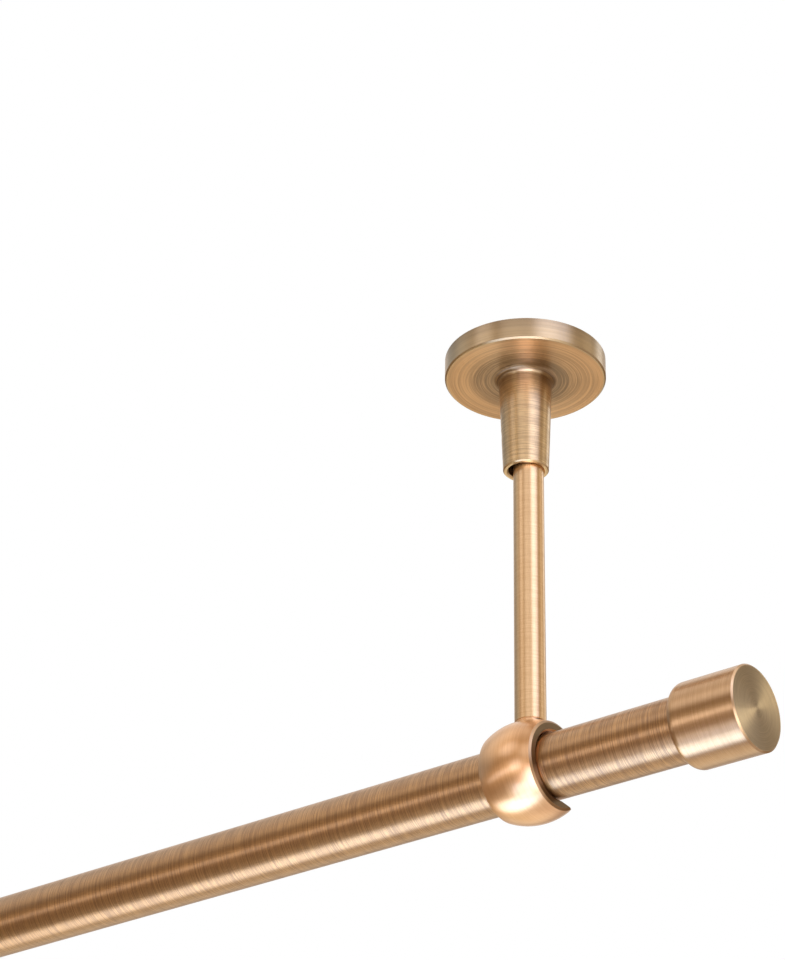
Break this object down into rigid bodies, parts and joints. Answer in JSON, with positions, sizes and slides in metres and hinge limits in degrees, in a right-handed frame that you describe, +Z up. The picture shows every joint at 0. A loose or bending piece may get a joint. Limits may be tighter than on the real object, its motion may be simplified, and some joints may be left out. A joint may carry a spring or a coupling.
{
  "type": "curtain rod",
  "caption": "Round curtain rod in brushed antique brass, hung below the ceiling in open barrel-shaped rings on slim stems with tapered necks and round rosettes, closed by stepped end caps.",
  "frame": {"origin": "on the ceiling plane, at the centre of the pattern of ceiling screw holes, midway between the two brackets", "axes": "+X along the rod towards the end shown in the picture, +Y to the back, where the rings are open, +Z up into the ceiling"},
  "size_m": [1.206, 0.0526, 0.1614],
  "materials": {
    "rod_metal": "antique brass, brushed around the tube",
    "cap_metal": "antique brass, brushed around the cap, end face turned",
    "ring_metal": "antique brass, satin",
    "rosette_metal": "antique brass, turned",
    "stem_metal": "antique brass, smooth satin",
    "plate_steel": "plain zinc plated",
    "screw_steel": "dark steel"
  },
  "bodies": {
    "root": {"ceiling_plate_left": "plate_steel", "ceiling_plate_right": "plate_steel", "end_cap_left": "cap_metal", "end_cap_right": "cap_metal", "end_cap_screw_left": "screw_steel", "end_cap_screw_right": "screw_steel", "ring_stud_left": "screw_steel", "ring_stud_right": "screw_steel", "rod_ring_left": "ring_metal", "rod_ring_right": "ring_metal", "rod_screw_left": "screw_steel", "rod_screw_right": "screw_steel", "rod_tube": "rod_metal", "rosette_left": "rosette_metal", "rosette_right": "rosette_metal", "rosette_screws_left": "screw_steel", "rosette_screws_right": "screw_steel", "stem_left": "stem_metal", "stem_right": "stem_metal", "stem_screw_left": "screw_steel", "stem_screw_right": "screw_steel"}
  },
  "joints": []
}
